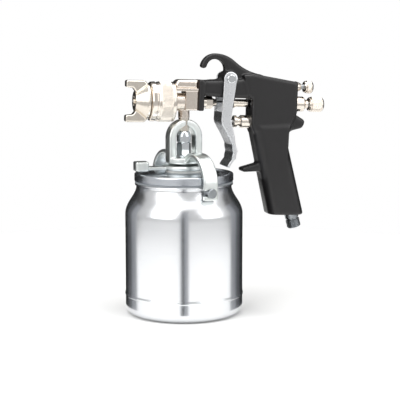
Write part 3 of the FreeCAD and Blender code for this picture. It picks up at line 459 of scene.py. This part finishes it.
# ---- Studio --------------------------------------------------------------------------------------
# A pale floor, soft light from both sides and above, and dark cards close round the cup, seen
# only in reflections, that draw the dark edges and the middle streak on bright metal.
def sheet_mesh(name, points, material):
    """An open mesh from a grid of points, each quad (i, j), (i, j+1), (i+1, j+1), (i+1, j)."""
    rows, columns = points.shape[:2]
    index = np.arange(rows * columns).reshape(rows, columns)
    faces = np.stack([index[:-1, :-1], index[:-1, 1:], index[1:, 1:], index[1:, :-1]], -1)
    mesh = bpy.data.meshes.new(name)
    mesh.from_pydata((points.reshape(-1, 3) / 1000).tolist(), [], faces.reshape(-1, 4).tolist())
    mesh.materials.append(material)
    item = bpy.data.objects.new(name, mesh)
    bpy.context.scene.collection.objects.link(item)
    return item


paper = finish("matt_white_paper", "#f6f6f5", "#f2f2f1", 400.0, (0.8, 0.9), 3.0, 0.02)
# A round table top: point (r, t) is (r cos t, r sin t), flat and just under the cup.
FLOOR_GAP = 0.3
reach, turn = np.meshgrid([1.0, 250.0, 500.0], np.linspace(0, 2 * math.pi, 97))
sheet_mesh("floor", np.stack([reach * np.cos(turn), reach * np.sin(turn),
                              0 * turn - FLOOR_GAP], -1)[::-1], paper)

card_black = finish("black_card", "#0b0b0b", "#080808", 50.0, (0.8, 0.9), 5.0, 0.02)
card_grey = finish("grey_card", "#6c6e72", "#66686c", 50.0, (0.8, 0.9), 5.0, 0.02)
card_pale = finish("pale_card", "#b4b6ba", "#aeb0b4", 50.0, (0.8, 0.9), 5.0, 0.02)
CAMERA_SIDE = math.radians(-90 - 15)
CARD_RADIUS, CARD_TOP = 70.0, 121.0


def card(name, start, end, material, radius=CARD_RADIUS, height=CARD_TOP):
    """A card bent round the cup's axis: point (t, h) is (radius cos t, radius sin t, h), with t
    in degrees from the camera's side.  Only reflections see it."""
    turn = CAMERA_SIDE + np.radians(np.linspace(start, end, 12))
    level = np.array([0.5, height])
    t, h = np.meshgrid(turn, level)
    made = sheet_mesh(name, np.stack([radius * np.cos(t), radius * np.sin(t), h], -1), material)
    made.visible_camera = False
    made.visible_diffuse = False
    made.visible_shadow = False


card("card_back", 105, 255, card_black, radius=800.0, height=600.0)
for side, name in ((-1, "left"), (1, "right")):
    card("card_" + name + "_edge", side * 94, side * 140, card_black)
    card("card_" + name + "_soft", side * 80, side * 94, card_grey)
    card("card_" + name + "_pale", side * 66, side * 80, card_pale)
streaks = ((-3.6, -2.0, card_pale), (-2.0, -1.1, card_grey), (-1.1, 0.3, card_black),
           (0.3, 1.3, card_grey), (1.3, 6.0, card_pale))
for number, (start, end, tone) in enumerate(streaks):
    card("card_streak_" + str(number), start, end, tone)

# The room's light: white in front and overhead, dim behind, where f = direction . backwards.
world = bpy.data.worlds.new("studio")
bpy.context.scene.world = world
world.use_nodes = True
sky = world.node_tree
back = (math.sin(math.radians(15)), math.cos(math.radians(15)), -0.55)
way = add(sky, "ShaderNodeTexCoord").outputs["Generated"]
facing = add(sky, "ShaderNodeVectorMath", {"operation": "DOT_PRODUCT"})
sky.links.new(way, facing.inputs[0])
facing.inputs[1].default_value = back
dimmed = add(sky, "ShaderNodeMapRange", {"From Min": 0.0, "From Max": 0.5, "To Min": 0.6,
                                         "To Max": 0.08}, Value=facing.outputs["Value"])
seen = add(sky, "ShaderNodeLightPath").outputs["Is Camera Ray"]
strength = add(sky, "ShaderNodeMath", {"operation": "MAXIMUM"})
sky.links.new(seen, strength.inputs[0])
sky.links.new(dimmed.outputs["Result"], strength.inputs[1])
sky.nodes["Background"].inputs["Color"].default_value = paint("#ffffff")
sky.links.new(strength.outputs[0], sky.nodes["Background"].inputs["Strength"])


def soft_light(name, place, aim, width, power):
    """A square soft light at a place in metres, turned to face its aim."""
    data = bpy.data.lights.new(name, "AREA")
    data.size = width
    data.energy = power
    lamp = bpy.data.objects.new(name, data)
    lamp.location = place
    lamp.rotation_euler = (Vector(aim) - Vector(place)).to_track_quat("-Z", "Y").to_euler()
    bpy.context.scene.collection.objects.link(lamp)


soft_light("left_light", (-1.2, -0.8, 0.9), (0, 0, 0.12), 1.4, 12.0)
soft_light("right_light", (1.0, -1.0, 0.8), (0.03, 0, 0.12), 1.2, 7.0)
soft_light("top_light", (0.0, -0.1, 1.5), (0, 0, 0.1), 1.6, 19.0)

lens = bpy.data.cameras.new("camera")
lens.sensor_width = 36.0
lens.lens = 113.6
camera = bpy.data.objects.new("camera", lens)
camera.location = (-0.2833, -1.1146, 0.265)
camera.rotation_euler = Vector((0.2563, 0.9567, -0.1380)).to_track_quat("-Z", "Y").to_euler()
bpy.context.scene.collection.objects.link(camera)
bpy.context.scene.camera = camera
bpy.context.scene.view_settings.view_transform = "Standard"
